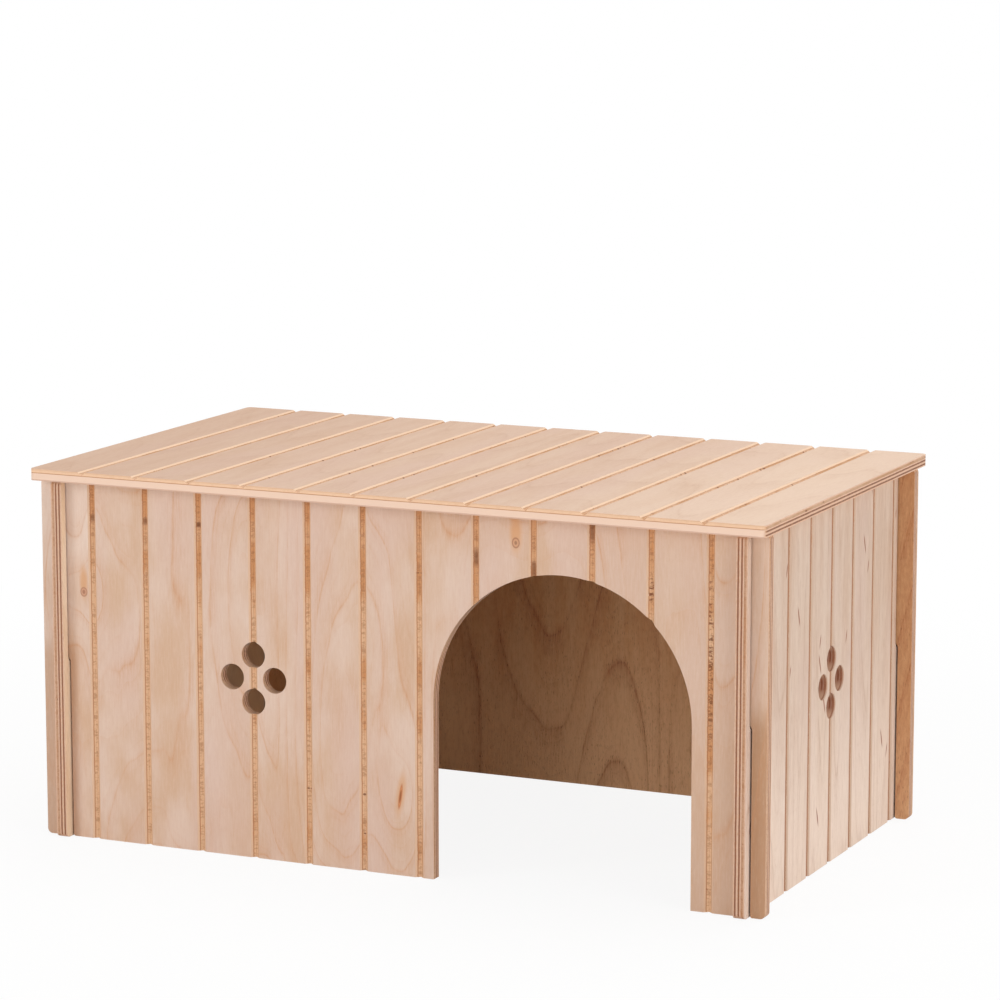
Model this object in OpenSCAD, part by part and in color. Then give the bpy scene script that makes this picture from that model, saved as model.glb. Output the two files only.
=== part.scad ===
// Knock-down rabbit house: four cross-halved plywood walls and a loose grooved roof.
// The front faces -Y, the floor is Z = 0, and the origin lies under the middle of the house.
// The side panels are slotted from the top, the front and back panels from the bottom,
// so each wall drops over the sides until all four stand on the floor.

/* [Panels] */
// Width of the front and back panels
wall_w = 600; // [540:1:700]
// Depth of the side panels
side_d = 344; // [300:1:440]
// Height of the four wall panels
wall_h = 282; // [262:1:340]
// Thickness of the plywood
ply = 9; // [6:0.5:12]
// Radius of the outer corners of every panel
corner_r = 4; // [1:0.5:6]

/* [Cross-halving joints] */
// How far the front and back panels run past the side panels
wall_horn = 13; // [8:0.5:24]
// How far the side panels run past the front and back panels
side_nose = 8; // [6:0.5:24]
// Clearance on each face of a panel that stands in a slot
slot_play = 1.5; // [0.5:0.1:2.5]
// Clearance left where the two round slot ends of a closed joint meet
slot_end_gap = 1.9; // [0.3:0.1:4]
// Radius of the corners where a slot opens at the edge of its panel
mouth_r = 1.5; // [0.5:0.25:2.5]

/* [Board grooves] */
// Width of one board between two grooves
board_w = 46.5; // [30:0.5:70]
// Width of a groove at the surface
groove_w = 7; // [3:0.25:8]
// Depth of a groove
groove_depth = 2.8; // [1:0.1:3]
// Distance from the front end of a side panel to its first groove
side_first_groove = 38; // [25:0.5:50]
// Narrowest board that is left at the end of a panel
last_board_min = 16; // [10:1:24]

/* [Doorway] */
// Width of the doorway
door_w = 207; // [160:1:220]
// Height of the arch above the floor
door_h = 240; // [200:1:250]
// Distance of the doorway's middle from the middle of the front panel
door_x = 138.5; // [125:0.5:145]

/* [Vents] */
// Diameter of one vent hole
vent_d = 20; // [12:0.5:22]
// Distance of each vent hole from the middle of its group
vent_ring = 18.1; // [17.5:0.1:22]
// Height of the vent groups above the floor
vent_z = 140; // [100:1:160]
// Number of the groove that a vent group is centred on, counted from 1
vent_groove = 4; // [3:1:4]

/* [Roof] */
// How far the roof runs past the ends of the front and back panels
roof_lap_side = 2; // [0:0.5:40]
// How far the roof runs past the ends of the side panels
roof_lap_end = 6; // [0:0.5:40]
// Width of a locating batten
batten_w = 13; // [8:0.5:30]
// Height of a locating batten
batten_h = 14.5; // [8:0.5:25]
// Clearance between a batten and the side panel beside it
batten_play = 1.5; // [0.5:0.1:5]
// Clearance between a batten's ends and the front and back panels
batten_end_play = 5; // [1:0.5:40]
// Radius of the batten's two lower arrises
batten_r = 3; // [0.5:0.25:4]

/* [Hidden] */
$fn = 96;
eps = 0.01;
veneer = "#dcbfa8";
inner_veneer = "#c08f5f";
batten_wood = "#d8b48c";

// Middle planes of the panels
side_x = wall_w / 2 - wall_horn - ply / 2;
wall_y = side_d / 2 - side_nose - ply / 2;

// Slots: the round ends leave room for the square edges of the panel that they meet
slot_w = ply + 2 * slot_play;
slot_r = slot_w / 2;
end_rise = slot_r - sqrt(slot_r * slot_r - ply * ply / 4);
overcut = 2 * end_rise + slot_end_gap;
wall_slot_top = wall_h / 2 + overcut / 2;
side_slot_bottom = wall_h / 2 - overcut / 2;

// Grooves: an even row on the wide panels, and a row from the front end on the sides
wall_gaps = floor((wall_w - board_w) / board_w);
wall_first_groove = (wall_w - wall_gaps * board_w) / 2;
side_gaps = floor((side_d - side_first_groove - last_board_min) / board_w);

// Vents
front_vent_u = wall_first_groove + (vent_groove - 1) * board_w;
side_vent_u = side_first_groove + (vent_groove - 1) * board_w;

// Roof
roof_w = wall_w + 2 * roof_lap_side;
roof_d = side_d + 2 * roof_lap_end;
batten_x = side_x - ply / 2 - batten_play - batten_w / 2;
batten_l = 2 * (wall_y - ply / 2 - batten_end_play);

// Rectangle with its lower left corner at the origin and four round corners
module rounded_plate(w, h, r) {
  translate([r, 0]) square([w - 2 * r, h]);
  translate([0, r]) square([w, h - 2 * r]);
  for (x = [r, w - r], y = [r, h - r])
    translate([x, y]) circle(r);
}

// Slot that opens downwards at the edge y = 0 and has a round end at the given depth
module slot(depth) {
  translate([-slot_r, -eps]) square([slot_w, depth - slot_r + eps]);
  translate([0, depth - slot_r]) circle(slot_r);
  for (s = [-1, 1]) slot_mouth(s);
}

// Rounded corner of a slot's mouth, on the side that s names
module slot_mouth(s) {
  difference() {
    translate([s * (slot_r + mouth_r / 2), mouth_r / 2 - eps])
      square([mouth_r, mouth_r + 2 * eps], center = true);
    translate([s * (slot_r + mouth_r), mouth_r]) circle(mouth_r);
  }
}

// Doorway with an upright pair of jambs and a half-round head
module doorway() {
  translate([-door_w / 2, -eps]) square([door_w, door_h - door_w / 2 + eps]);
  translate([0, door_h - door_w / 2]) circle(door_w / 2);
}

// Four round holes on the points of a diamond
module vent_group() {
  for (a = [0:90:270])
    rotate(a) translate([vent_ring, 0]) circle(vent_d / 2);
}

// Row of V grooves up the whole height of a sheet, cut down into its face at z = ply
module grooves(first, gaps, length) {
  for (i = [0:gaps])
    translate([first + i * board_w, -eps, ply])
      rotate([-90, 0, 0])
        linear_extrude(length + 2 * eps)
          polygon([[-groove_w / 2, -eps], [groove_w / 2, -eps],
                   [groove_w / 2, 0], [0, groove_depth], [-groove_w / 2, 0]]);
}

// Front and back sheet lying flat, grooved face up and floor edge at y = 0
module wall_sheet() {
  difference() {
    linear_extrude(ply) difference() {
      rounded_plate(wall_w, wall_h, corner_r);
      for (x = [-side_x, side_x])
        translate([wall_w / 2 + x, 0]) slot(wall_slot_top);
      children();
    }
    grooves(wall_first_groove, wall_gaps, wall_h);
  }
}

// Side sheet lying flat, grooved face up, floor edge at y = 0 and front end at x = 0
module side_sheet() {
  difference() {
    linear_extrude(ply) difference() {
      rounded_plate(side_d, wall_h, corner_r);
      for (y = [-wall_y, wall_y])
        translate([side_d / 2 + y, wall_h]) mirror([0, 1]) slot(wall_h - side_slot_bottom);
      translate([side_vent_u, vent_z]) vent_group();
    }
    grooves(side_first_groove, side_gaps, wall_h);
  }
}

module front_panel() {
  color(veneer)
    translate([-wall_w / 2, -wall_y + ply / 2, 0])
      rotate([90, 0, 0])
        wall_sheet() {
          translate([wall_w / 2 + door_x, 0]) doorway();
          translate([front_vent_u, vent_z]) vent_group();
        }
}

module back_panel() {
  color(inner_veneer)
    translate([wall_w / 2, wall_y - ply / 2, 0])
      rotate([90, 0, 180])
        wall_sheet();
}

module right_side_panel() {
  color(veneer)
    translate([side_x - ply / 2, -side_d / 2, 0])
      rotate([90, 0, 90])
        side_sheet();
}

module left_side_panel() {
  color(veneer)
    mirror([1, 0, 0])
      translate([side_x - ply / 2, -side_d / 2, 0])
        rotate([90, 0, 90])
          side_sheet();
}

module roof_panel() {
  color(veneer)
    translate([-roof_w / 2, -roof_d / 2, wall_h])
      difference() {
        linear_extrude(ply) rounded_plate(roof_w, roof_d, corner_r);
        grooves(roof_lap_side + wall_first_groove, wall_gaps, roof_d);
      }
}

// Batten under the roof: its sides run up square, and its lower arrises are rounded
module batten() {
  translate([0, batten_l / 2, 0])
    rotate([90, 0, 0])
      linear_extrude(batten_l) {
        translate([-batten_w / 2, wall_h - batten_h + batten_r])
          square([batten_w, batten_h - batten_r]);
        translate([-batten_w / 2 + batten_r, wall_h - batten_h])
          square([batten_w - 2 * batten_r, batten_h]);
        for (s = [-1, 1])
          translate([s * (batten_w / 2 - batten_r), wall_h - batten_h + batten_r])
            circle(batten_r);
      }
}

module left_batten() {
  color(batten_wood) translate([-batten_x, 0, 0]) batten();
}

module right_batten() {
  color(batten_wood) translate([batten_x, 0, 0]) batten();
}

front_panel();
back_panel();
left_side_panel();
right_side_panel();
roof_panel();
left_batten();
right_batten();
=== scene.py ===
import bpy
import math
import numpy
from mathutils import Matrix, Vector


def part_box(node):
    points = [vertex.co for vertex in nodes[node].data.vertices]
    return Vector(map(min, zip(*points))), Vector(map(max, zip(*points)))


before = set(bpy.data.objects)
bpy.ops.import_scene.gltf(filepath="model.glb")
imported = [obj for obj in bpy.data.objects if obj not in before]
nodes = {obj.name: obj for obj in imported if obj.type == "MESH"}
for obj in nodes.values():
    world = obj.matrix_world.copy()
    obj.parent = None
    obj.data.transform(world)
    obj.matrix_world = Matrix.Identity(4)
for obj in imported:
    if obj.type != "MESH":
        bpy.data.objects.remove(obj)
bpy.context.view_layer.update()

# CAD lengths are in metres and the wood's patterns in millimetres
mmPerMetre = 1000.0

# The camera stands to the right of the house and a little above it
cameraPlace = {
    "location": (1.2792, -2.7551, 0.7822),
    "azimuth": 24.66,
    "elevation": 9.75,
    "lens": 142.5,
    "sensor": 36.0,
    "clipEnd": 200.0,
}

# Pale floor that turns plain white away from the house, and a pale sky
studio = {
    "floorReach": 60.0,
    "floorDrop": 0.0003,
    "floorColour": (250, 250, 249),
    "white": (1.0, 1.0, 1.0, 1.0),
    "glowNear": 0.9,
    "glowFar": 1.0,
    "nearReach": 0.35,
    "farReach": 1.1,
    "skyStrength": 0.5,
}

# Soft lamps: place, what they point at, size in metres and power in watts
lamps = {
    "leftSoftbox": {"place": (-2.2, -2.5, 1.3), "aim": (0.0, 0.0, 0.15), "size": 1.2, "power": 26.0},
    "frontSoftbox": {"place": (0.3, -3.4, 0.5), "aim": (0.0, 0.0, 0.1), "size": 1.4, "power": 15.0},
    "rightSoftbox": {"place": (3.2, -1.4, 1.4), "aim": (0.0, 0.0, 0.12), "size": 2.4, "power": 42.0},
    "topSoftbox": {"place": (0.3, 0.8, 3.2), "aim": (0.0, 0.0, 0.25), "size": 2.6, "power": 34.0},
}

# Bare sanded wood: how far its fibres stand up, in metres, and how little it shines
sanded = {"relief": 0.0001, "specular": 0.25, "roughness": 0.56, "roughnessSpread": 0.12}


def linear(colour):
    # From the 0 to 255 values that a screen shows to the renderer's linear ones
    parts = [c / 255 for c in colour]
    return tuple(c / 12.92 if c <= 0.04045 else ((c + 0.055) / 1.055) ** 2.4 for c in parts) + (1.0,)


class Value:
    # A number that varies over a surface: arithmetic on it adds Math nodes
    def __init__(self, net, socket):
        self.net = net
        self.socket = socket

    def __add__(self, other):
        return self.net.maths("ADD", self, other)

    def __sub__(self, other):
        return self.net.maths("SUBTRACT", self, other)

    def __rsub__(self, other):
        return self.net.maths("SUBTRACT", other, self)

    def __mul__(self, other):
        return self.net.maths("MULTIPLY", self, other)

    def __truediv__(self, other):
        return self.net.maths("DIVIDE", self, other)

    def __pow__(self, other):
        return self.net.maths("POWER", self, other)


class Finish:
    # The node tree of one material or of the world
    def __init__(self, name, world=None):
        self.owner = world or bpy.data.materials.new(name)
        self.owner.use_nodes = True
        self.tree = self.owner.node_tree
        self.tree.nodes.clear()

    def node(self, kind, settings=None, inputs=None, output=0):
        made = self.tree.nodes.new(kind)
        for key, value in (settings or {}).items():
            if key == "curve":
                self.setCurve(made, value)
            else:
                setattr(made, key, value)
        for key, value in (inputs or {}).items():
            if isinstance(value, Value):
                self.tree.links.new(value.socket, made.inputs[key])
            else:
                made.inputs[key].default_value = value
        return Value(self, made.outputs[output]) if len(made.outputs) else made

    def setCurve(self, made, points):
        # The stops of a Float Curve node, from left to right
        line = made.mapping.curves[0].points
        while len(line) < len(points):
            line.new(0.5, 0.5)
        for stop, place in zip(line, points):
            stop.location = place
            stop.handle_type = "AUTO_CLAMPED"
        made.mapping.update()

    def maths(self, operation, *values):
        return self.node("ShaderNodeMath", {"operation": operation}, dict(enumerate(values)))

    def clamp(self, value):
        return self.node("ShaderNodeClamp", {}, {0: value})

    def ramp(self, value, low, high):
        # 0 below low, 1 above high and a smooth step between
        return self.node("ShaderNodeMapRange", {"interpolation_type": "SMOOTHSTEP"},
                         {0: value, 1: low, 2: high})

    def blend(self, amount, first, second):
        return self.node("ShaderNodeMix", {"data_type": "RGBA"}, {0: amount, 6: first, 7: second}, 2)

    def noise(self, x, y, z, detail, roughness=0.5):
        place = self.node("ShaderNodeCombineXYZ", {}, {0: x, 1: y, 2: z})
        return self.node("ShaderNodeTexNoise", {"noise_dimensions": "3D"},
                         {"Vector": place, "Scale": 1.0, "Detail": detail, "Roughness": roughness})

    def place(self):
        # The three object coordinates in millimetres
        where = self.node("ShaderNodeTexCoord", output=3)
        return [part * mmPerMetre for part in self.split("ShaderNodeSeparateXYZ", where)]

    def normal(self):
        # The three parts of the direction in which the surface faces
        return self.split("ShaderNodeSeparateXYZ", self.node("ShaderNodeNewGeometry", output=1))

    def split(self, kind, value):
        # The three parts of a vector or colour
        parts = self.node(kind, {}, {0: value}).socket.node
        return [Value(self, parts.outputs[i]) for i in range(3)]

    def seenRays(self):
        # 1 for the rays that show a surface to the camera, straight or by way of metal and glass
        rays = self.node("ShaderNodeLightPath").socket.node
        names = ("Is Camera Ray", "Is Glossy Ray", "Is Transmission Ray")
        camera, glossy, clear = [Value(self, rays.outputs[name]) for name in names]
        return self.clamp(camera + glossy + clear)

    def surface(self, colour, roughness, height):
        relief = {"Strength": 1.0, "Distance": sanded["relief"], "Height": height}
        bump = self.node("ShaderNodeBump", {}, relief)
        shader = self.node("ShaderNodeBsdfPrincipled", {},
                           {"Base Color": colour, "Roughness": roughness, "Normal": bump,
                            "Specular IOR Level": sanded["specular"]})
        self.node("ShaderNodeOutputMaterial", {}, {0: shader})
        return self.owner


# Middle of what the noise gives
noiseMiddle = 0.5

# Patterns along the face: length and width in millimetres along and across the grain, the step from
# the piece's seed at which each one reads the noise, and the values between which it fades in. A look
# gives the sizes that are missing here. Wander moves the edges of the plies, and sheen the roughness.
facePatterns = {
    "drift": {"step": 0.0, "detail": 3.0, "between": (0.36, 0.66)},
    "flush": {"length": 190.0, "width": 46.0, "step": 11.0, "detail": 1.0, "between": (0.44, 0.66),
              "share": 0.7},
    "wave": {"length": 800.0, "step": 3.0, "detail": 1.0},
    "wobble": {"length": 60.0, "width": 26.0, "step": 5.0, "detail": 2.0},
    "broken": {"length": 60.0, "width": 30.0, "step": 8.0, "detail": 2.0, "between": (0.35, 0.6)},
    "fibre": {"length": 15.0, "step": 2.0, "detail": 3.0, "roughness": 0.6, "relief": 0.7},
    "pore": {"length": 4.0, "width": 0.8, "step": 6.0, "detail": 1.0, "between": (0.6, 0.7),
             "relief": 0.8},
    "mottle": {"length": 7.0, "width": 3.0, "step": 15.0, "detail": 3.0, "roughness": 0.7},
    "wander": {"length": 14.0, "width": 14.0, "step": 20.0, "detail": 1.0},
    "sheen": {"length": 40.0, "width": 9.0, "step": 30.0, "detail": 1.0},
}

# Growth lines: each ring ends in a crisp line after a soft darkening, with fainter lines between.
# A line is broken up by the fibres and by wide gaps, and pores gather along it.
lineShape = {
    "softPower": 4.0,
    "softEnd": (0.9, 1.0),
    "softLoss": 0.8,
    "minorPerRing": 3.0,
    "minorStart": 0.4,
    "minorPower": 7.0,
    "fibreGain": 1.6,
    "fibreLeast": 0.2,
    "gapDepth": 0.7,
    "gapLeast": 0.3,
    "darkFibreFrom": 0.42,
    "paleFibreGain": 1.4,
    "poreGaps": (0.38, 0.62),
    "poreGapDepth": 0.6,
    "poreLeast": 0.2,
    "poresOnLine": 0.9,
}

# Edges of a knot's parts, as shares of its own radius
knotEdges = {"halo": (0.25, 1.0), "knot": (0.85, 1.05), "rimStart": (0.7, 0.95), "rimEnd": (1.0, 1.25),
             "heartStart": 0.6}

# Flecks: how much longer than wide each one's cell is, its step from seed to seed, and its soft edges
fleckShape = {"stretch": 2.2, "step": 7.3, "choice": 0.02, "edge": (0.4, 1.0)}


def woodNoise(net, along, across, kind, seed, **sizes):
    # One pattern along the face, with the sizes that a look gives
    pattern = dict(facePatterns[kind], **sizes)
    return net.noise(along / pattern["length"], across / pattern["width"], seed + pattern["step"],
                     pattern["detail"], pattern.get("roughness", 0.5))


def levelShares(levels, along):
    # How far the counts of each level matter at a height, on one smooth curve through all of them
    return [math.prod((along - other) / (level - other) for other in levels if other != level)
            for level in levels]


def ringCounts(figure):
    # Fits smooth ring counts, for each place across the sheet and each level, to the growth lines.
    # A wish is its share of each count, what these shares should add up to, and its weight.
    places, levels = figure["places"], figure["levels"]
    unit = numpy.eye(len(levels) * len(places)).reshape(len(levels), len(places), -1)
    wishes = []
    for ring, weight, points in figure["lines"]:
        for across, along in points:
            shares = [numpy.interp(across, places, one) for one in numpy.eye(len(places))]
            wishes.append((numpy.kron(levelShares(levels, along), shares), ring, weight))
    for level in unit:
        for i in range(1, len(places) - 1):
            # The counts keep their slope from one place to the next
            before = (level[i] - level[i - 1]) / (places[i] - places[i - 1])
            after = (level[i + 1] - level[i]) / (places[i + 1] - places[i])
            loose = places[i] >= figure.get("looseFrom", math.inf)
            wishes.append((after - before, 0.0, figure["looseStiffness" if loose else "stiffness"]))
    for lower, upper, rise in zip(unit, unit[1:], figure["rises"]):
        # They rise about this much from one level to the next, and evenly
        wishes += [(row, rise, figure["riseHold"]) for row in upper - lower]
    for lower, middle, upper in zip(unit, unit[1:], unit[2:]):
        wishes += [(row, 0.0, figure["bendHold"]) for row in lower - middle * 2.0 + upper]
    rows = numpy.array([row * weight for row, wanted, weight in wishes])
    sums = numpy.array([wanted * weight for row, wanted, weight in wishes])
    counts = numpy.linalg.lstsq(rows, sums, rcond=None)[0].reshape(len(levels), -1).round(2)
    for place, byHand in figure.get("byHand", {}).items():
        counts[:, places.index(place)] = byHand
    return counts.tolist()


def ringDepth(net, across, places, counts):
    # How many growth rings deep the sheet is cut, place by place across it
    first, last = places[0], places[-1]
    least, most = min(counts), max(counts)
    stops = [((x - first) / (last - first), (c - least) / (most - least)) for x, c in zip(places, counts)]
    cut = net.node("ShaderNodeFloatCurve", {"curve": stops}, {1: (across - first) / (last - first)})
    aboveZero = 20.0  # A whole number of rings, so that it moves no line
    return cut * (most - least) + (least + aboveZero)


def growthHeight(net, along, across, look, seed):
    # The sheet's place within the growth rings: a line shows at each whole number
    if "figure" in look:
        places, levels = look["figure"]["places"], look["figure"]["levels"]
        height = 0.0
        for level, counts in zip(levels, ringCounts(look["figure"])):
            part = ringDepth(net, across, places, counts)
            for other in levels:
                if other != level:
                    part = part * ((along - other) / (level - other))
            height = part + height
    else:
        wave = woodNoise(net, along, across, "wave", seed, width=look["waveWidth"])
        height = along / look["rise"] + wave * look["wave"]
    wobble = woodNoise(net, along, across, "wobble", seed)
    return height + (wobble - noiseMiddle) * look["wobble"]


def knotLayers(net, along, across, knot):
    # Growth lines swell round a knot; it has a warm halo, a dark rim and a darker heart
    u = (across - knot["ringAcross"]) / knot["ringWidth"]
    v = (along - knot["along"]) / knot["ringLength"]
    swell = net.maths("EXPONENT", (u * u + v * v) * -1.0) * knot["rings"]
    u = (across - knot["across"] - (along - knot["along"]) * knot["slant"]) / knot["width"]
    v = (along - knot["along"]) / knot["length"]
    near = net.maths("SQRT", u * u + v * v)
    spread = u * (knot["width"] / knot["haloWidth"])
    reach = (along - knot["along"] - knot["haloRise"]) / knot["haloLength"]
    haloNear = net.maths("SQRT", spread * spread + reach * reach)
    rim = net.ramp(near, *knotEdges["rimStart"]) * (1.0 - net.ramp(near, *knotEdges["rimEnd"]))
    heart = net.ramp(near, knot["heart"] * knotEdges["heartStart"], knot["heart"])
    return {
        "swell": swell,
        "halo": (1.0 - net.ramp(haloNear, *knotEdges["halo"])) * knot["halo"],
        "knot": (1.0 - net.ramp(near, *knotEdges["knot"])) * knot["fill"],
        "rim": rim * knot["rim"],
        "heart": (1.0 - heart) * knot["dark"],
    }


def fleckLayer(net, along, across, fleck, seed):
    # Sparse dark flecks, each one long and thin and all of a layer leaning the same way
    wide, tall = fleck["apart"], fleck["apart"] * fleckShape["stretch"]
    slanted = (across + along * fleck["lean"]) / wide + seed * fleckShape["step"]
    place = net.node("ShaderNodeCombineXYZ", {}, {0: slanted, 1: along / tall})
    settings = {"voronoi_dimensions": "2D", "feature": "F1"}
    cells = net.node("ShaderNodeTexVoronoi", settings, {"Vector": place, "Scale": 1.0}).socket.node
    chance = net.split("ShaderNodeSeparateColor", Value(net, cells.outputs["Color"]))[0]
    chosen = net.ramp(chance, 1.0 - fleck["share"], 1.0 - fleck["share"] + fleckShape["choice"])
    centre = net.split("ShaderNodeSeparateXYZ", Value(net, cells.outputs["Position"]))
    u = (slanted - centre[0]) * (wide * 2.0 / fleck["width"])
    v = (along / tall - centre[1]) * (tall * 2.0 / fleck["length"])
    near = net.maths("SQRT", u * u + v * v)
    return (1.0 - net.ramp(near, *fleckShape["edge"])) * chosen * fleck["strength"]


def lineAmounts(net, look, height, fibre, broken):
    # How strongly the growth lines show, and the crisp part of them alone
    phase = net.maths("FRACT", height)
    crisp = net.maths("ABSOLUTE", phase * 2.0 - 1.0) ** look["crispness"]
    softEnd = net.ramp(phase, *lineShape["softEnd"]) * lineShape["softLoss"]
    soft = phase ** lineShape["softPower"] * (1.0 - softEnd)
    minor = net.maths("FRACT", height * lineShape["minorPerRing"] + lineShape["minorStart"])
    minor = minor ** lineShape["minorPower"]
    amount = crisp * look["crispStrength"] + soft * look["softStrength"] + minor * look["minorStrength"]
    amount = amount * (fibre * lineShape["fibreGain"] + lineShape["fibreLeast"])
    gaps = net.ramp(broken, *facePatterns["broken"]["between"])
    return amount * (gaps * lineShape["gapDepth"] + lineShape["gapLeast"]), crisp


def poreAmount(net, along, across, look, seed, broken, crisp):
    # Fine dark pores, closest together along the crisp lines
    pore = net.ramp(woodNoise(net, along, across, "pore", seed), *facePatterns["pore"]["between"])
    gaps = net.ramp(broken, *lineShape["poreGaps"]) * lineShape["poreGapDepth"]
    return pore * (gaps + lineShape["poreLeast"] + crisp * lineShape["poresOnLine"]) * look["pores"]


def veneer(net, along, across, look, seed, knots=()):
    # Face veneer: drifting tones, growth lines that follow the height field, fibres, pores and flecks
    line, shine = linear(look["line"]), linear(look["shine"])
    drift = woodNoise(net, along, across, "drift", seed, length=look["driftLength"], width=look["driftWidth"])
    drift = net.ramp(drift, *facePatterns["drift"]["between"])
    colour = net.blend(drift, linear(look["pale"]), linear(look["warm"]))
    flush = net.ramp(woodNoise(net, along, across, "flush", seed), *facePatterns["flush"]["between"])
    colour = net.blend(flush * facePatterns["flush"]["share"], colour, linear(look["blush"]))
    places = {"along": along, "across": across}
    for share, toneColour, ramps in look["tonesAndPaintedLight"]:
        # A wash that comes in from one place to another, up the sheet or across it: some are tones of the
        # wood, others painted light and painted shade
        amount = share
        for axis, start, end in ramps:
            turn = 1.0 if end > start else -1.0
            amount = net.ramp(places[axis] * turn, start * turn, end * turn) * amount
        colour = net.blend(amount, colour, linear(toneColour))

    height = growthHeight(net, along, across, look, seed)
    layers = [knotLayers(net, along, across, knot) for knot in knots]
    for layer in layers:
        height = height + layer["swell"]
    fibre = woodNoise(net, along, across, "fibre", seed, width=look["fibreWidth"])
    broken = woodNoise(net, along, across, "broken", seed)
    amount, crisp = lineAmounts(net, look, height, fibre, broken)
    colour = net.blend(net.clamp(amount), colour, line)
    dark = (fibre - lineShape["darkFibreFrom"]) * look["fibre"]
    colour = net.blend(net.clamp(dark), colour, line)
    pale = (noiseMiddle - fibre) * look["fibre"] * lineShape["paleFibreGain"]
    colour = net.blend(net.clamp(pale), colour, shine)
    mottle = woodNoise(net, along, across, "mottle", seed)
    colour = net.blend(net.clamp((mottle - noiseMiddle) * look["mottle"]), colour, shine)
    colour = net.blend(net.clamp((noiseMiddle - mottle) * look["mottle"]), colour, line)
    pore = poreAmount(net, along, across, look, seed, broken, crisp)
    colour = net.blend(net.clamp(pore), colour, linear(look["poreColour"]))

    for fleck in look.get("flecks", ()):
        colour = net.blend(fleckLayer(net, along, across, fleck, seed), colour, linear(look["fleckColour"]))
    for knot, layer in zip(knots, layers):
        for part in ("halo", "knot", "rim", "heart"):
            tint = knot.get(part + "Colour", look[part + "Colour"])
            colour = net.blend(layer[part], colour, linear(tint))
    return colour, fibre * facePatterns["fibre"]["relief"] - pore * facePatterns["pore"]["relief"]


# Plies of the 9 mm sheet, from one face to the other, in millimetres, and how far their edges waver.
# The first core ply runs across the grain down to the grooves' floor.
plies = {"thickness": 9.0, "face": 1.0, "inner": 1.4, "blur": 0.07, "waver": 0.3, "firstCross": (2.8, 2.9),
         "glueFade": 0.15}

# Where a pair of core plies turns from one direction to the other, as shares of the pair
plyTurns = {"start": (0.0, 0.06), "end": (0.47, 0.53)}

# How squarely a face looks along an axis, from 0 to 1, where it counts as this kind of cut
cuts = {
    "end": (0.3, 0.9),
    "edge": (0.75, 1.0),
    "flankStart": (0.5, 0.7),
    "flankEnd": (0.85, 0.95),
    "flat": (0.8, 0.95),
    "rim": (0.4, 0.7),
    "wall": (0.3, 0.6),
    "under": (0.25, 0.85),
}

# Patterns inside the sheet: sizes in millimetres along its grain, across it and down into it, and how
# far one sheet's seed moves it
corePatterns = {
    "patch": {"length": 34.0, "width": 500.0, "depth": 6.0, "spread": 1.0, "detail": 2.0,
              "between": (0.44, 0.64)},
    "tick": {"length": 2.2, "width": 7.0, "depth": 6.0, "spread": 0.0, "detail": 3.0, "roughness": 0.8,
             "between": (0.46, 0.62)},
    "spot": {"length": 5.0, "width": 130.0, "depth": 5.0, "spread": 3.0, "detail": 1.0, "edge": 0.04},
    "fine": {"length": 2.5, "width": 2.5, "depth": 0.2, "spread": 0.0, "detail": 1.0,
             "between": (0.4, 0.65), "relief": 0.4},
}

# Core plies: colours are written as they show, 0 to 255
coreWood = {
    "long": (230, 192, 166),
    "longDark": (216, 172, 142),
    "longEnd": (204, 168, 148),
    "crossPale": (226, 188, 152),
    "crossOrange": (208, 154, 108),
    "crossEnd": (138, 92, 68),
    # Painted shade for faces that look down
    "under": (122, 86, 66),
    "tick": (160, 106, 70),
    "glue": (172, 112, 74),
    "spot": (116, 64, 38),
}

# How much of each tint the core takes, how much of it a cut end takes away, and how the ends of the
# cross plies darken with depth
coreShares = {
    "orange": 0.7,
    "orangeAtEnd": 0.9,
    "marksAtEnd": 0.8,
    "tick": 0.48,
    "spot": 0.8,
    "longEnd": 0.85,
    "under": 0.75,
    "endOnDepths": (2.4, 3.2),
    "endOnGain": 0.65,
    "endOnLeast": 0.35,
}

# A streak fades in over this length, is darkest in this share of its width, and may be broken by ticks
streakShape = {"fade": 10.0, "heart": 0.3, "ticks": (0.46, 0.58)}

# Millimetres over which the shade of a deep cut fades in
shadeFade = 1.0

# How far the inner face's seed is from the outer one's
innerStep = 50.0


def coreNoise(net, along, across, depth, kind, seed):
    # One pattern inside the sheet
    pattern = corePatterns[kind]
    down = depth / pattern["depth"] + seed * pattern["spread"]
    return net.noise(along / pattern["length"], across / pattern["width"], down, pattern["detail"],
                     pattern.get("roughness", 0.5))


def pastDepth(net, value, start):
    # 1 from a depth on, with an edge as blurred as a ply's
    return net.ramp(value, start - plies["blur"], start + plies["blur"])


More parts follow.
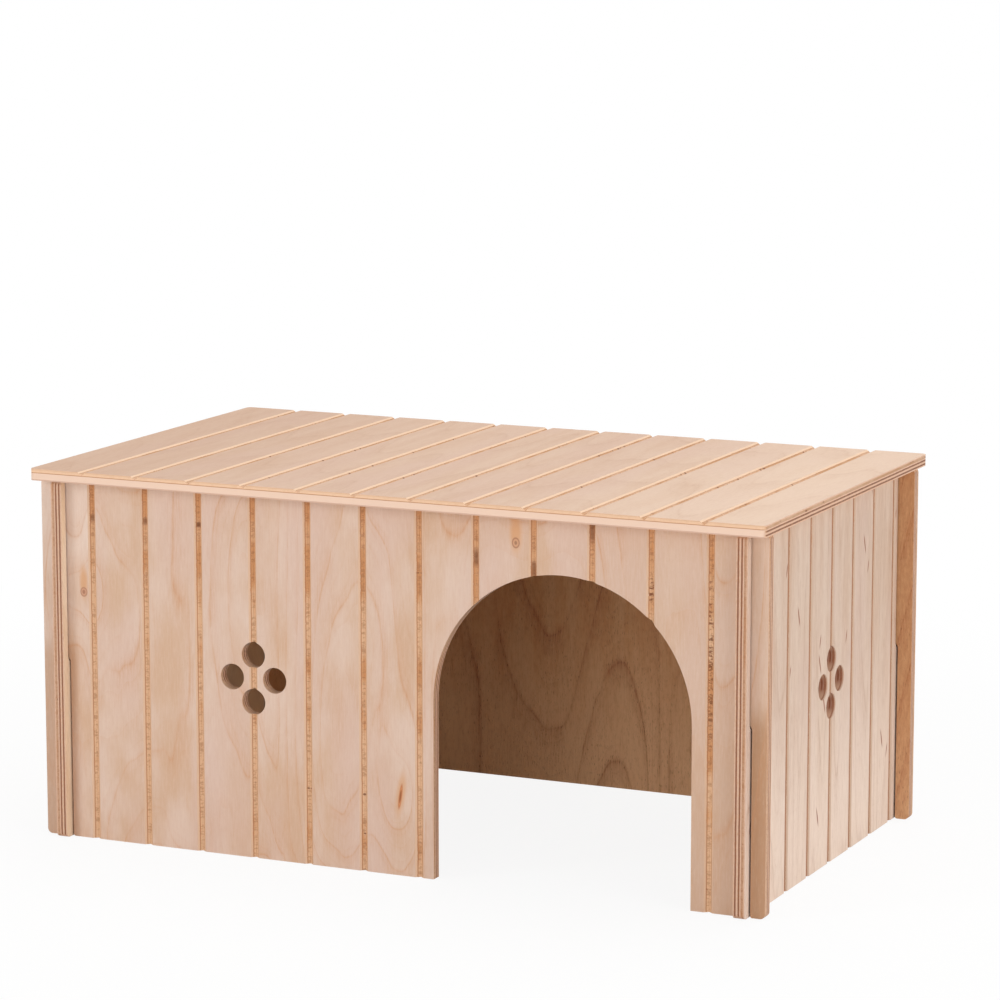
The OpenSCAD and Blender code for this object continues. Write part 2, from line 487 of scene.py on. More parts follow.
def crossGrain(net, wood, outer, point, seed):
    # Wood of the plies that run across the grain: orange patches, ticks, spots and streaks
    along, across, depth = point["along"], point["across"], point["depth"]
    patch = coreNoise(net, along, across, depth, "patch", seed)
    spot = coreNoise(net, along, across, depth, "spot", seed)
    orange = net.ramp(patch, *corePatterns["patch"]["between"])
    if "orange" in outer:  # Heights between which the whole ply turns orange
        orange = net.clamp(orange + net.ramp(along, *outer["orange"]) * coreShares["orange"])
    orange = orange * (1.0 - point["cutEnd"] * coreShares["orangeAtEnd"])
    colour = net.blend(orange, linear(wood["crossPale"]), linear(wood["crossOrange"]))
    colour = net.blend(point["endOn"], colour, linear(wood["crossEnd"]))
    marked = 1.0 - point["cutEnd"] * coreShares["marksAtEnd"]
    ticked = net.ramp(point["tick"], *corePatterns["tick"]["between"]) * marked * coreShares["tick"]
    colour = net.blend(ticked, colour, linear(wood["tick"]))
    spotted = net.ramp(spot, outer["spots"], outer["spots"] + corePatterns["spot"]["edge"])
    colour = net.blend(spotted * marked * coreShares["spot"], colour, linear(wood["spot"]))
    for streak in outer.get("streaks", ()):
        # A dark defect that runs along the grain of the cross ply, so every groove cuts it at one height
        off = net.maths("ABSOLUTE", along - across * streak["slope"] - streak["along"])
        seen = net.ramp(across, streak["from"], streak["from"] + streakShape["fade"])
        seen = seen * (1.0 - net.ramp(across, streak["to"] - streakShape["fade"], streak["to"]))
        dark = 1.0 - net.ramp(off, streak["width"] * streakShape["heart"], streak["width"])
        dark = dark * seen * streak["share"]
        if streak["ticked"]:
            dark = dark * net.ramp(point["tick"], *streakShape["ticks"])
        colour = net.blend(dark, colour, linear(wood["spot"]))
    return colour


def plywood(name, outer, inner, sheet, outerKnots=(), innerKnots=()):
    # The sheet gives its axes along the grain, across it and in depth, the place of its outer face,
    # the way in from there, and the seed of its patterns
    net = Finish(name)
    seed = sheet["seed"]
    wood = dict(coreWood, **outer.get("core", {}))
    where = net.place()
    normal = net.normal()
    along = where[sheet["grain"]]
    across = where[sheet["across"]]
    facingAcross = net.maths("ABSOLUTE", normal[sheet["across"]])
    facingAlong = net.maths("ABSOLUTE", normal[sheet["grain"]])
    facingOut = net.maths("ABSOLUTE", normal[sheet["depth"]])
    depth = (where[sheet["depth"]] - sheet["outer"] * mmPerMetre) * sheet["inward"]
    wander = woodNoise(net, along, across, "wander", seed) * plies["waver"]
    depthIn = depth + wander - plies["waver"] / 2
    outerColour, outerHeight = veneer(net, along, across, outer, seed, outerKnots)
    innerColour, innerHeight = veneer(net, along, across, inner, seed + innerStep, innerKnots)

    # Every second core ply runs across the grain, and each shows end grain where its end is cut
    turn = net.maths("FRACT", (depthIn - plies["face"]) / (plies["inner"] * 2))
    crossPly = net.ramp(turn, *plyTurns["start"]) * (1.0 - net.ramp(turn, *plyTurns["end"]))
    crossPly = net.maths("MAXIMUM", crossPly, 1.0 - net.ramp(depthIn, *plies["firstCross"]))
    cutEnd = net.ramp(facingAlong, *cuts["end"])
    tick = coreNoise(net, along, across, depthIn, "tick", seed)
    fine = coreNoise(net, along, across, depthIn, "fine", seed)
    deep = net.ramp(depthIn, *coreShares["endOnDepths"]) * coreShares["endOnGain"] + coreShares["endOnLeast"]
    point = {"along": along, "across": across, "depth": depthIn, "tick": tick, "cutEnd": cutEnd,
             "endOn": net.ramp(facingAcross, *cuts["edge"]) * deep}
    crossWood = crossGrain(net, wood, outer, point, seed)
    darker = net.ramp(fine, *corePatterns["fine"]["between"])
    longWood = net.blend(darker, linear(wood["long"]), linear(wood["longDark"]))
    longWood = net.blend(cutEnd * coreShares["longEnd"], longWood, linear(wood["longEnd"]))
    core = net.blend(crossPly, longWood, crossWood)

    # The first glue line shows on the flanks of the grooves
    start, end, share = outer["glueLine"]
    glue = pastDepth(net, depthIn, start) * (1.0 - net.ramp(depthIn, end, end + plies["glueFade"]))
    flank = net.ramp(facingOut, *cuts["flankStart"]) * (1.0 - net.ramp(facingOut, *cuts["flankEnd"]))
    core = net.blend(glue * flank * share, core, linear(wood["glue"]))
    # Painted shade: faces that look down, such as the tops of holes and the bottom edges, are darkened
    down = net.ramp(normal[2] * -1.0, *cuts["under"])
    core = net.blend(down * coreShares["under"], core, linear(wood["under"]))
    places = {"along": along, "across": across, "aside": net.maths("ABSOLUTE", across)}
    for shade in outer["shades"]:
        # Walls of a deep cut take painted shade, and those of the left side's slots painted light, which the
        # soft light alone would not give them
        amount = (1.0 - net.ramp(facingOut, *cuts["wall"])) * shade["share"]
        for axis, start, end in shade["within"]:
            amount = amount * net.ramp(places[axis], start, start + shadeFade)
            amount = amount * (1.0 - net.ramp(places[axis], end - shadeFade, end))
        core = net.blend(amount, core, linear(shade["colour"]))
    for start, bandColour in outer.get("endBands", ()):
        # Bands that the planed end of the sheet shows, each from a depth on
        core = net.blend(pastDepth(net, depthIn, start) * cutEnd, core, linear(bandColour))

    # The router tears the veneer's edge a little along each groove
    torn = depthIn - (tick - noiseMiddle) * flank * outer["torn"]
    isOuter = 1.0 - pastDepth(net, torn, outer["skin"])
    isInner = pastDepth(net, depthIn, plies["thickness"] - plies["face"])
    rimWood = net.blend(net.ramp(facingOut, *cuts["rim"]), longWood, linear(outer["rim"]))
    rimWood = net.blend(cutEnd, rimWood, linear(outer.get("rimEnd", wood["longEnd"])))
    isFlat = net.ramp(facingOut, *cuts["flat"])
    colour = net.blend(isOuter, core, net.blend(isFlat, rimWood, outerColour))
    colour = net.blend(isInner, colour, net.blend(isFlat, longWood, innerColour))
    height = isOuter * outerHeight + isInner * innerHeight + fine * corePatterns["fine"]["relief"]
    sheen = woodNoise(net, along, across, "sheen", seed)
    return net.surface(colour, sheen * sanded["roughnessSpread"] + sanded["roughness"], height)


def dress(obj, material):
    # Gives a CAD solid its finish
    obj.data.materials.clear()
    obj.data.materials.append(material)


def makeCamera():
    data = bpy.data.cameras.new("photoCamera")
    data.lens = cameraPlace["lens"]
    data.sensor_width = cameraPlace["sensor"]
    data.clip_end = cameraPlace["clipEnd"]
    camera = bpy.data.objects.new("photoCamera", data)
    bpy.context.scene.collection.objects.link(camera)
    camera.location = cameraPlace["location"]
    turn = math.radians(cameraPlace["azimuth"])
    tilt = math.radians(cameraPlace["elevation"])
    back = Vector((math.sin(turn) * math.cos(tilt), -math.cos(turn) * math.cos(tilt), math.sin(tilt)))
    camera.rotation_euler = (-back).to_track_quat("-Z", "Y").to_euler()
    bpy.context.scene.camera = camera
    bpy.context.scene.view_settings.view_transform = "Standard"
    print("camera stands at", tuple(camera.location))


def makeFloor():
    bpy.ops.mesh.primitive_plane_add(size=studio["floorReach"], location=(0, 0, -studio["floorDrop"]))
    floor = bpy.context.object
    floor.name = "floor"
    net = Finish("floorPaper")
    x, y = net.place()[:2]
    away = net.maths("SQRT", x * x + y * y) / mmPerMetre
    far = net.ramp(away, studio["nearReach"], studio["farReach"])
    share = far * (studio["glowFar"] - studio["glowNear"]) + studio["glowNear"]
    diffuse = net.node("ShaderNodeBsdfDiffuse", {}, {0: linear(studio["floorColour"])})
    glow = net.node("ShaderNodeEmission", {}, {0: studio["white"], 1: 1.0})
    mixed = net.node("ShaderNodeMixShader", {}, {0: net.seenRays() * share, 1: diffuse, 2: glow})
    net.node("ShaderNodeOutputMaterial", {}, {0: mixed})
    floor.data.materials.append(net.owner)
    print("floor is laid")


def makeLight():
    world = bpy.data.worlds.new("studioSky")
    bpy.context.scene.world = world
    net = Finish("studioSky", world)
    shade = net.node("ShaderNodeBackground", {}, {0: studio["white"], 1: studio["skyStrength"]})
    plain = net.node("ShaderNodeBackground", {}, {0: studio["white"], 1: 1.0})
    mixed = net.node("ShaderNodeMixShader", {}, {0: net.seenRays(), 1: shade, 2: plain})
    net.node("ShaderNodeOutputWorld", {}, {0: mixed})
    for name, lamp in lamps.items():
        data = bpy.data.lights.new(name, "AREA")
        data.shape = "DISK"
        data.size = lamp["size"]
        data.energy = lamp["power"]
        obj = bpy.data.objects.new(name, data)
        bpy.context.scene.collection.objects.link(obj)
        obj.location = lamp["place"]
        toward = Vector(lamp["aim"]) - Vector(lamp["place"])
        obj.rotation_euler = toward.to_track_quat("-Z", "Y").to_euler()
    print("lamps and sky are set")


bpy.ops.object.select_all(action="DESELECT")
makeCamera()
makeFloor()
makeLight()

# Growth lines of the front: the ring that each line is, how much it weighs, and its points in millimetres
# across the sheet and up it. A ring that isn't whole marks a place between two lines. The ring counts are
# worked out from them at these places and levels.
frontFigure = {
    "places": [-300, -284, -270, -255, -244, -236, -228, -220, -210, -202, -196, -189, -182, -175, -168,
               -158, -150, -142, -134, -125, -116, -108, -100, -92, -84, -76, -68, -60, -52, -44, -36, -28,
               -20, -12, -4, 5, 15, 26, 38, 52, 80, 110, 150, 200, 243, 265, 288, 300],
    "levels": [0.0, 95.0, 190.0, 285.0],
    "lines": [
        # Round the knot by the left edge
        (2, 1.0, [(-255, 129), (-247, 131), (-240, 133), (-235, 134), (-230, 131), (-226, 127), (-219, 131),
                  (-217, 148), (-217, 165), (-219, 180), (-222, 193), (-226, 200), (-233, 212), (-238, 228),
                  (-244, 240)]),
        (2, 0.6, [(-288, 237), (-275, 242), (-262, 247), (-252, 254)]),
        # The long line that dips twice
        (1, 1.0, [(-183, 250), (-184, 230), (-184, 212), (-181, 197), (-177, 185), (-174, 165), (-173, 145),
                  (-171, 130), (-171, 110), (-174, 98), (-179, 88), (-184, 78), (-189, 64), (-196, 69),
                  (-204, 72), (-212, 74), (-220, 75), (-227, 69), (-231, 58), (-236, 45), (-241, 30),
                  (-246, 8)]),
        (0, 1.0, [(-230, 2), (-222, 12), (-217, 22), (-210, 28), (-203, 30), (-197, 33), (-193, 30),
                  (-191, 15), (-188, 2)]),
        # Two long lines to the left of the vents
        (0, 1.0, [(-144, 275), (-150, 245), (-153, 215), (-156, 200), (-154, 180), (-150, 160), (-147, 140),
                  (-144, 120), (-143, 100), (-138, 95), (-130, 90), (-122, 82), (-116, 70), (-110, 52),
                  (-105, 35), (-99, 18), (-88, 3)]),
        (-1, 1.0, [(-125, 280), (-131, 255), (-135, 235), (-138, 210), (-138, 185), (-135, 170),
                   (-131, 150), (-127, 125), (-121, 104), (-112, 92)]),
        # Upright lines on the next board
        (-1, 1.0, [(-93, 262), (-95, 235), (-96, 200), (-96, 160), (-96, 120), (-97, 95)]),
        (0, 1.0, [(-86, 260), (-87, 220), (-88, 170), (-88, 120), (-89, 70), (-88, 30), (-82, 3)]),
        (1, 1.0, [(-77, 240), (-78, 200), (-79, 150), (-80, 100), (-80, 60), (-77, 25), (-72, 3)]),
        (2, 0.7, [(-70, 240), (-71, 190), (-73, 140), (-73, 90), (-72, 50), (-66, 20), (-60, 3)]),
        (3, 1.0, [(-37, 278), (-47, 245), (-53, 225), (-59, 205), (-64, 175), (-66, 140), (-66, 100),
                  (-65, 60), (-58, 30), (-50, 18), (-40, 14), (-30, 18), (-24, 30)]),
        # Nested ellipses to the left of the eye, and the lines between the eye and the doorway
        (4, 1.0, [(-30, 225), (-36, 215), (-42, 205), (-47, 190), (-52, 175), (-55, 155), (-57, 140),
                  (-58, 110), (-59, 85), (-57, 65), (-53, 50), (-47, 45), (-40, 43), (-33, 47), (-29, 60),
                  (-24, 80), (-20, 108), (-16, 122), (-12, 135), (-9, 150), (-6, 165), (-6, 185),
                  (-10, 202), (-15, 210), (-22, 222)]),
        (4.45, 1.0, [(-32, 140), (-35, 120), (-30, 165)]),
        (3, 0.6, [(-15, 262), (-6, 240), (2, 215), (6, 190), (8, 160), (8, 130), (4, 105)]),
        (3.3, 1.0, [(-5, 60), (5, 65), (12, 60), (3, 45), (3, 85)]),
        (2, 0.6, [(22, 270), (30, 230), (31, 200), (28, 165), (28, 130), (28, 90), (28, 50), (26, 10)]),
        (1, 0.5, [(42, 270), (44, 240), (40, 205), (36, 180), (34, 150), (34, 100), (34, 40)]),
        (2.6, 0.5, [(10, 5), (0, 8)]),
        # Above the doorway
        (1.5, 0.5, [(60, 250), (75, 262), (95, 250), (120, 262), (138, 265)]),
        (0.5, 0.3, [(60, 285), (100, 282), (140, 282)]),
        # Between the lines of the left boards
        (1.7, 1.0, [(-270, 110)]),
        (1.6, 1.0, [(-270, 60), (-270, 140)]),
        (1.5, 1.0, [(-268, 10), (-285, 60)]),
        (1.6, 0.8, [(-290, 120), (-245, 100)]),
        (2.3, 0.6, [(-262, 170), (-262, 215)]),
        (1.5, 0.6, [(-290, 275), (-270, 270)]),
        (0.6, 1.5, [(-180, 48), (-172, 60)]),
        (0.5, 1.5, [(-172, 30), (-165, 50), (-165, 90)]),
        (0.55, 1.5, [(-165, 5), (-145, 5)]),
        (0.4, 1.5, [(-150, 35), (-135, 50), (-150, 80)]),
        (0.35, 1.5, [(-125, 8)]),
        (1.45, 1.0, [(-196, 240), (-197, 275), (-200, 200)]),
        (0.65, 1.0, [(-168, 250), (-168, 280), (-166, 200)]),
        (0.4, 1.0, [(-158, 240)]),
        (1.4, 0.8, [(-195, 140), (-195, 180), (-195, 110)]),
        (1.6, 0.8, [(-205, 150), (-208, 200)]),
        (-1.6, 0.6, [(-115, 200), (-115, 250)]),
    ],
    "stiffness": 1.5, "rises": [0.0, 0.0, 0.0], "riseHold": 0.06, "bendHold": 0.05,
    # The last boards' lines hang down from the top edge: their counts at the four levels
    "byHand": {
        243: (-0.71, -0.85, -0.6, -0.3),
        265: (-1.3, -0.75, 0.25, 1.6),
        288: (-2.1, -1.75, -0.8, -0.1),
        300: (-2.7, -2.45, -1.7, -1.3),
    },
}
# Even upright lines above the doorway's right half and beyond the doorway
frontFigure["lines"] += [(1 - 0.6 * k, 0.3, [(x, 262), (x, 285)]) for k, x in enumerate(range(160, 250, 18))]
frontFigure["lines"] += [(-1 - k, 0.5, [(x + 3, 5), (x, 60), (x - 2, 120), (x, 190), (x + 4, 270)])
                         for k, x in enumerate((243, 254, 265, 276, 288, 299))]

# Where the slots and vents lie on their sheets, and how far their walls take painted shade (painted light in
# the left side's slots).
# On the front only the right slot takes painted shade.
# Painted shade on the walls of the slots
slotPaintedShade = (70, 46, 34)
# Painted light on the walls of the left side's slots
slotPaintedLight = (250, 214, 178)
# Painted shade in the vent walls, in the reddish brown of their end grain
ventPaintedShade = (142, 78, 52)
wallSlotUp = ("along", -5.0, 147.0)
sideSlot = [("aside", 150.0, 168.5), ("along", 135.0, 281.0)]
vents = [("aside", -5.0, 37.0), ("along", 108.0, 172.0)]
ventShade = {"within": vents, "colour": ventPaintedShade, "share": 0.62}
frontShades = [{"within": [("across", 273.0, 292.0), wallSlotUp], "colour": slotPaintedShade, "share": 0.85}]
backShades = [{"within": [("aside", 273.0, 292.0), wallSlotUp], "colour": slotPaintedShade, "share": 0.85}]
rightShades = [{"within": sideSlot, "colour": slotPaintedShade, "share": 0.8}, ventShade]
leftPaintedLightAndShade = [{"within": sideSlot, "colour": slotPaintedLight, "share": 0.8}, ventShade]

# The front: pale birch with faint cathedral lines, one knot by its left edge and an eye low down
frontLook = {
    "pale": (215, 189, 172), "warm": (205, 171, 145), "blush": (211, 182, 167),
    "line": (198, 144, 104), "shine": (232, 205, 184), "rim": (216, 182, 154),
    "driftLength": 80.0, "driftWidth": 34.0, "figure": frontFigure,
    "crispness": 15.0, "crispStrength": 0.6, "softStrength": 0.26, "minorStrength": 0.14, "wobble": 0.2,
    "fibre": 0.4, "fibreWidth": 1.1, "pores": 0.12, "poreColour": (176, 128, 96), "mottle": 0.4,
    "haloColour": (208, 152, 104), "knotColour": (198, 150, 118),
    "rimColour": (146, 92, 68), "heartColour": (112, 66, 44),
    "skin": 1.0, "torn": 0.9, "spots": 0.76, "glueLine": (1.0, 1.45, 0.75), "shades": frontShades,
    "orange": (190.0, 275.0),
    "streaks": [
        {"along": 256.0, "slope": 0.01, "width": 4.0, "share": 0.55, "from": -270.0, "to": -190.0,
         "ticked": False},
        {"along": 256.5, "slope": 0.01, "width": 3.0, "share": 0.8, "from": -190.0, "to": -140.0,
         "ticked": False},
        {"along": 256.0, "slope": -0.12, "width": 9.0, "share": 0.6, "from": 50.0, "to": 140.0,
         "ticked": False},
        {"along": 275.0, "slope": 0.0, "width": 12.0, "share": 0.6, "from": 140.0, "to": 185.0,
         "ticked": False},
        {"along": 234.0, "slope": 0.0, "width": 13.0, "share": 0.8, "from": 190.0, "to": 230.0,
         "ticked": True},
        {"along": 190.0, "slope": 0.0, "width": 90.0, "share": 0.7, "from": 235.0, "to": 275.0,
         "ticked": True},
    ],
    "tonesAndPaintedLight": [(0.45, (202, 169, 145), [("across", 120.0, 190.0)]),
              # Painted shade low down on the boards beside the right slot
              (0.35, (190, 150, 120), [("across", 225.0, 240.0), ("along", 150.0, 60.0)]),
              # Painted shadow of the right side panel's nose, on the front's end beyond the right slot
              (0.75, (172, 128, 92), [("across", 283.0, 290.0), ("along", 165.0, 135.0)]),
              (0.7, (188, 151, 124), [("across", -283.0, -290.0), ("along", 165.0, 135.0)]),
              # Painted shadow of the left side panel's nose, on the front beside the left slot
              (0.6, (170, 122, 90), [("across", -266.0, -277.0), ("across", -290.0, -279.0),
                                     ("along", 160.0, 140.0)]),
              (0.7, (226, 206, 192), [("across", -245.0, -262.0), ("along", 190.0, 245.0)])],
}
frontKnots = [
    {"ringAcross": -267.0, "ringWidth": 24.0, "ringLength": 30.0, "rings": 1.5,
     "across": -263.7, "along": 195.0, "width": 2.8, "length": 3.4, "slant": 0.0,
     "haloRise": 8.0, "haloWidth": 5.0, "haloLength": 18.0, "halo": 0.7,
     "fill": 0.75, "rim": 0.6, "heart": 0.6, "dark": 0.6,
     "knotColour": (196, 146, 118), "rimColour": (156, 102, 78), "heartColour": (146, 94, 70)},
    {"ringAcross": 5.0, "ringWidth": 19.0, "ringLength": 40.0, "rings": 1.35,
     "across": 7.5, "along": 61.0, "width": 1.3, "length": 9.0, "slant": 0.14,
     "haloRise": 2.0, "haloWidth": 5.5, "haloLength": 24.0, "halo": 0.6,
     "fill": 0.85, "rim": 0.5, "heart": 0.7, "dark": 0.7,
     "knotColour": (200, 128, 78), "rimColour": (178, 104, 62), "heartColour": (128, 68, 38)},
    {"ringAcross": 102.0, "ringWidth": 14.0, "ringLength": 30.0, "rings": 0.0,
     "across": 102.3, "along": 261.4, "width": 2.8, "length": 3.6, "slant": 0.0,
     "haloRise": 7.0, "haloWidth": 7.0, "haloLength": 21.0, "halo": 0.75,
     "fill": 0.6, "rim": 0.65, "heart": 0.5, "dark": 0.5},
]

# Growth lines of the back's inner veneer: long nested cathedrals, seen through the doorway
backFigure = {
    "places": [-300, -270, -246, -225, -205, -190, -170, -154, -144, -132, -118, -106, -94, -83, -74, -62,
               -50, -38, -25, -12, 0, 11, 23, 35, 45, 53, 62, 74, 84, 91, 98, 108, 118, 130, 150, 180, 220,
               262, 274, 286, 300],
    "levels": [0.0, 120.0, 285.0],
    "lines": [
        (1, 1.0, [(-77, 285), (-70, 235), (-64, 182), (-61, 145), (-52, 108), (-41, 75), (-30, 62),
                  (-14, 50), (-3, 58), (10, 80), (17, 101), (23, 123), (28, 148), (36, 171), (49, 197),
                  (55, 208), (64, 194), (76, 170), (85, 149), (87, 104), (86.5, 60), (86, 21)]),
        (2, 1.0, [(-61, 286), (-55, 231), (-43, 177), (-33, 160), (-23, 134), (-12, 118), (1, 125),
                  (12, 159), (23, 193), (31, 227), (39, 284)]),
        (3, 1.0, [(-34, 282), (-26, 251), (-17, 229), (-3, 214), (8, 225), (14, 246), (21, 283)]),
        (0, 1.0, [(-98, 271), (-98, 226), (-96, 189), (-92, 163), (-87, 121), (-78, 98), (-75.5, 76),
                  (-75.5, 45), (-75.5, 15)]),
        (0, 1.0, [(51, 103), (37, 87), (26, 61), (19, 35), (15, 9), (60, 95), (68, 71), (73, 40),
                  (77, 3)]),
        (-1, 0.7, [(48, 27), (38, 8), (58, 8)]),
        (1, 1.0, [(108, 141), (102, 110), (97, 84), (94, 52), (96, 22), (112, 170)]),
        # Closer lines low down on the left
        (-8, 1.0, [(-243.7, 55.5), (-245.7, -2)]),
        (-7, 1.0, [(-214.3, 58.7), (-211.1, 32.6), (-205.7, -0.7)]),
        (-6, 1.0, [(-205.2, 58.5), (-201.1, 41.3), (-197.8, 26), (-194.3, -0.9)]),
        (-5, 1.0, [(-189.7, 57.9), (-187.9, 34.8), (-184.3, 14.4), (-181, -2.1)]),
        (-4, 1.0, [(-170, 52), (-166, 21.4), (-164.7, -0.5)]),
        (-3, 1.0, [(-155.4, 57.2), (-153.9, 25.1), (-152, -0.5)]),
        (-2, 1.0, [(-145.3, 58.9), (-144.9, 31.2), (-144.5, -1)]),
        (-1, 1.0, [(-121.1, 59.1), (-119.2, 31.1), (-118.5, 0.3)]),
        # Between the lines, beside the knot and out to both ends
        (0.85, 1.0, [(120, 43), (130, 43)]),
        (0.35, 1.0, [(-60, 20), (-65, 60)]),
        (0.5, 1.0, [(-40, 20)]),
        (0.6, 1.0, [(-14, 10), (0, 10)]),
        (-0.75, 1.0, [(-105, 20)]),
        (-0.45, 1.0, [(-90, 20)]),
        (-0.6, 1.0, [(-98, 60)]),
        (-7.6, 1.0, [(-230, 30)]),
        (-8.5, 1.0, [(-262, 30)]),
        (-9.4, 1.0, [(-290, 30)]),
        (-7.9, 0.6, [(-262, 150)]),
        (-7.4, 0.6, [(-280, 285)]),
        (-0.35, 1.0, [(-110, 285)]),
        (-0.7, 1.0, [(-120, 285)]),
        (-1.1, 1.0, [(-133, 285)]),
        (-1.6, 1.0, [(-145, 285)]),
        (1.85, 1.0, [(92, 285)]),
        (1.75, 1.0, [(92, 200)]),
        (1.35, 1.0, [(91, 60)]),
        (1.15, 1.0, [(91, 10)]),
        (1.6, 1.0, [(92, 120)]),
    ],
    # The end board past this place has a figure of its own
    "stiffness": 1.75, "looseFrom": 262, "looseStiffness": 0.05,
    "rises": [0.9, 1.4], "riseHold": 0.12, "bendHold": 0.0,
}
# Even upright lines beyond the knot at the top, and how the counts fall away at the two lower levels
topRight = [(0.6 - k, 0.5, [(115 + 14 * k, 245), (115 + 14 * k, 285)]) for k in range(12)]
lowRight = [(150, 0.8), (180, -0.6), (220, -2.6), (260, -4.6), (274, -5.2)]
midRight = [(118, 0.45), (130, -0.05), (150, -1.2), (180, -3.2), (220, -5.8), (260, -8.5), (274, -9.4)]
endBoard = {286: (-16.0, -14.1, -11.5), 300: (-17.0, -15.1, -12.5)}
backFigure["lines"] += topRight
backFigure["lines"] += [(ring, 1.0, [(x, 0)]) for x, ring in lowRight]
backFigure["lines"] += [(ring, 1.0, [(x, 120)]) for x, ring in midRight]
backFigure["lines"] += [(ring, 2.0, [(x, level)]) for x, rings in endBoard.items()
                        for ring, level in zip(rings, backFigure["levels"])]

# The back's inner veneer is browner
backInnerLook = {
    "pale": (224, 176, 130), "warm": (214, 159, 110), "blush": (216, 161, 114),
    "line": (164, 96, 60), "shine": (236, 192, 148),
    "driftLength": 130.0, "driftWidth": 15.0, "figure": backFigure,
    "crispness": 12.0, "crispStrength": 0.62, "softStrength": 0.3, "minorStrength": 0.14, "wobble": 0.2,
    "fibre": 0.5, "fibreWidth": 1.2, "pores": 0.55, "poreColour": (128, 76, 48), "mottle": 1.0,
    "haloColour": (222, 158, 108), "knotColour": (190, 124, 80),
    "rimColour": (132, 76, 46), "heartColour": (62, 34, 24),
    "tonesAndPaintedLight": [(0.9, (250, 206, 162), [("along", 150.0, 0.0)]),
              # Painted shade low on the left, where the front and the left side shade the back
              (0.5, (196, 142, 98), [("across", -110.0, -180.0), ("along", 90.0, 40.0)]),
              (0.3, (236, 172, 116), [("across", -230.0, -258.0)]),
              (0.4, (250, 190, 126), [("across", -230.0, -258.0), ("along", 70.0, 130.0)]),
              # Painted shade on the strip past the right side panel, which keeps the left lamp off it
              (0.6, (176, 124, 84), [("across", 281.0, 286.0)])],
}
backKnots = [
    {"ringAcross": 150.0, "ringWidth": 28.0, "ringLength": 40.0, "rings": -4.6,
     "across": 151.0, "along": 43.0, "width": 16.0, "length": 20.0, "slant": 0.0,
     "haloRise": 0.0, "haloWidth": 41.0, "haloLength": 52.0, "halo": 0.4,
     "fill": 0.5, "rim": 0.4, "heart": 0.24, "dark": 0.85},
]

# Outer faces of the back, the sides and the roof: no figure of their own, only slow waves
plainLook = dict(frontLook, line=(188, 140, 104), driftLength=130.0, driftWidth=15.0, wobble=0.3,
                 crispStrength=0.45, softStrength=0.22, minorStrength=0.12, shades=[], tonesAndPaintedLight=[])
for frontOnly in ("figure", "streaks", "orange"):
    del plainLook[frontOnly]
backOuterLook = dict(plainLook, shades=backShades, rise=210.0, wave=8.0, waveWidth=58.0)
sideLook = dict(plainLook, pale=(221, 198, 180), warm=(212, 184, 163), blush=(216, 190, 175),
                line=(184, 144, 116), rim=(208, 180, 158), rimEnd=(222, 192, 170),
                core={"long": (214, 178, 154), "longDark": (202, 160, 132), "crossPale": (212, 170, 138),
                      "crossOrange": (200, 150, 112), "glue": (166, 118, 90)},
                glueLine=(0.95, 1.75, 0.7),
                endBands=[(1.0, (172, 124, 98)), (2.2, (208, 168, 142)), (7.4, (186, 140, 112))],
                rise=170.0, wave=6.0, waveWidth=36.0, fibre=0.9, pores=0.2, fleckColour=(150, 78, 46),
                flecks=[{"lean": 0.3, "apart": 36.0, "share": 0.42, "width": 2.8, "length": 20.0,
                         "strength": 0.9},
                        {"lean": -0.25, "apart": 30.0, "share": 0.3, "width": 2.4, "length": 14.0,
                         "strength": 0.85}],
                # Painted light: the sides grow lighter towards the bottom
                tonesAndPaintedLight=[(0.75, (248, 228, 212), [("along", 190.0, 10.0)])])
# The walls of the left slots take painted light and those of the right ones painted shade
rightLook = dict(sideLook, shades=rightShades)
leftLook = dict(sideLook, shades=leftPaintedLightAndShade)
roofLook = dict(plainLook, pale=(226, 194, 170), warm=(221, 186, 160), blush=(223, 189, 168),
                # Rim: the face ply's pale edge on the groove flanks, lightened further into a painted
                # highlight
                rim=(246, 214, 184), rimEnd=(222, 182, 150), crispStrength=0.22, softStrength=0.14,
                minorStrength=0.06, mottle=0.3, rise=120.0, wave=5.0, waveWidth=70.0, spots=0.68,
                glueLine=(1.0, 1.45, 0.3),
                core={"crossPale": (232, 192, 158), "crossOrange": (216, 168, 126), "tick": (190, 138, 100)},
                # Painted shade towards the roof's left end and painted light towards its right end
                tonesAndPaintedLight=[(0.4, (204, 166, 140), [("across", -60.0, -260.0)]),
                       (0.6, (247, 220, 196), [("across", 60.0, 280.0)])],
                endBands=[(2.7, (190, 140, 106)), (3.3, (232, 200, 178)), (8.2, (196, 160, 138))])

# Inner faces of the front, the sides and the roof are a quiet tan
tanLook = dict(plainLook, pale=(237, 214, 188), warm=(232, 202, 170), blush=(233, 205, 178),
               line=(196, 152, 114), rise=130.0, wave=6.0, waveWidth=80.0, crispStrength=0.3,
               tonesAndPaintedLight=[(0.85, (255, 218, 176), [("across", 40.0, 150.0)])])

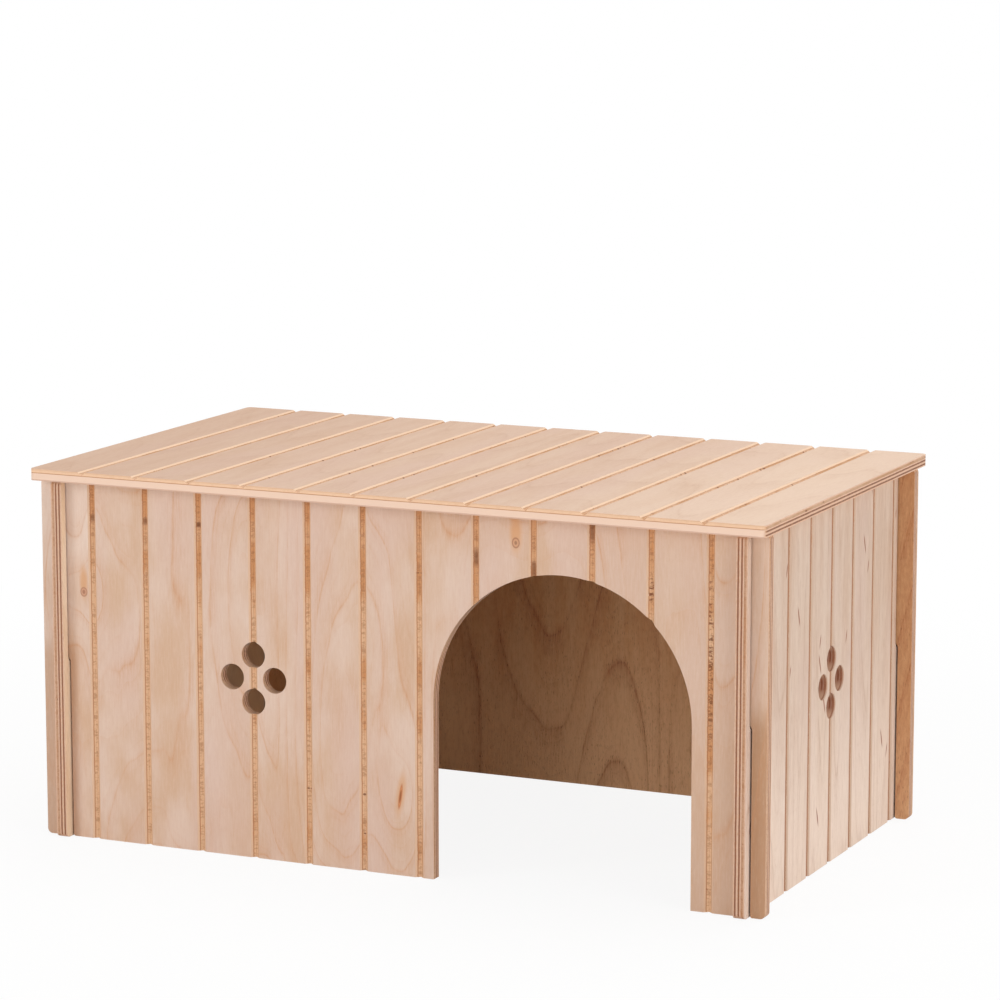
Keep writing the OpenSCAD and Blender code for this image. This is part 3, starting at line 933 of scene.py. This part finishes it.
low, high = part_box("front_panel")
frontSheet = {"grain": 2, "across": 0, "depth": 1, "outer": low.y, "inward": 1.0, "seed": 1.0}
low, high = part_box("back_panel")
backSheet = {"grain": 2, "across": 0, "depth": 1, "outer": high.y, "inward": -1.0, "seed": 2.0}
low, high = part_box("right_side_panel")
rightSheet = {"grain": 2, "across": 1, "depth": 0, "outer": high.x, "inward": -1.0, "seed": 3.0}
low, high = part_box("left_side_panel")
leftSheet = {"grain": 2, "across": 1, "depth": 0, "outer": low.x, "inward": 1.0, "seed": 4.0}
low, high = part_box("roof_panel")
roofSheet = {"grain": 1, "across": 0, "depth": 2, "outer": high.z, "inward": -1.0, "seed": 5.0}

dress(nodes["front_panel"], plywood("frontPlywood", frontLook, tanLook, frontSheet, frontKnots))
dress(nodes["back_panel"], plywood("backPlywood", backOuterLook, backInnerLook, backSheet, (), backKnots))
dress(nodes["right_side_panel"], plywood("rightPlywood", rightLook, tanLook, rightSheet))
dress(nodes["left_side_panel"], plywood("leftPlywood", leftLook, tanLook, leftSheet))
dress(nodes["roof_panel"], plywood("roofPlywood", roofLook, tanLook, roofSheet))
print("sheets have their veneers")

# Battens of plain softwood: sizes along the strip, across it and up it, in millimetres
battenLook = {
    "pale": (206, 166, 132), "dark": (180, 136, 102), "fibreColour": (160, 112, 74),
    "ring": (160.0, 3.0, 3.0), "ringBetween": (0.4, 0.62),
    "fibre": (9.0, 0.4, 0.4), "fibreBetween": (0.5, 0.75), "fibreShare": 0.3,
    "detail": 2.0, "roughness": 0.6, "roughnessSpread": 0.1,
}


def battenWood(look):
    net = Finish("battenWood")
    x, y, z = net.place()
    ring, fibre = [net.noise(y / size[0], x / size[1], z / size[2], look["detail"])
                   for size in (look["ring"], look["fibre"])]
    rings = net.ramp(ring, *look["ringBetween"])
    colour = net.blend(rings, linear(look["pale"]), linear(look["dark"]))
    fibres = net.ramp(fibre, *look["fibreBetween"]) * look["fibreShare"]
    colour = net.blend(fibres, colour, linear(look["fibreColour"]))
    return net.surface(colour, fibre * look["roughnessSpread"] + look["roughness"], fibre)


battenFinish = battenWood(battenLook)
for name in ("left_batten", "right_batten"):
    dress(nodes[name], battenFinish)
print("battens are finished")
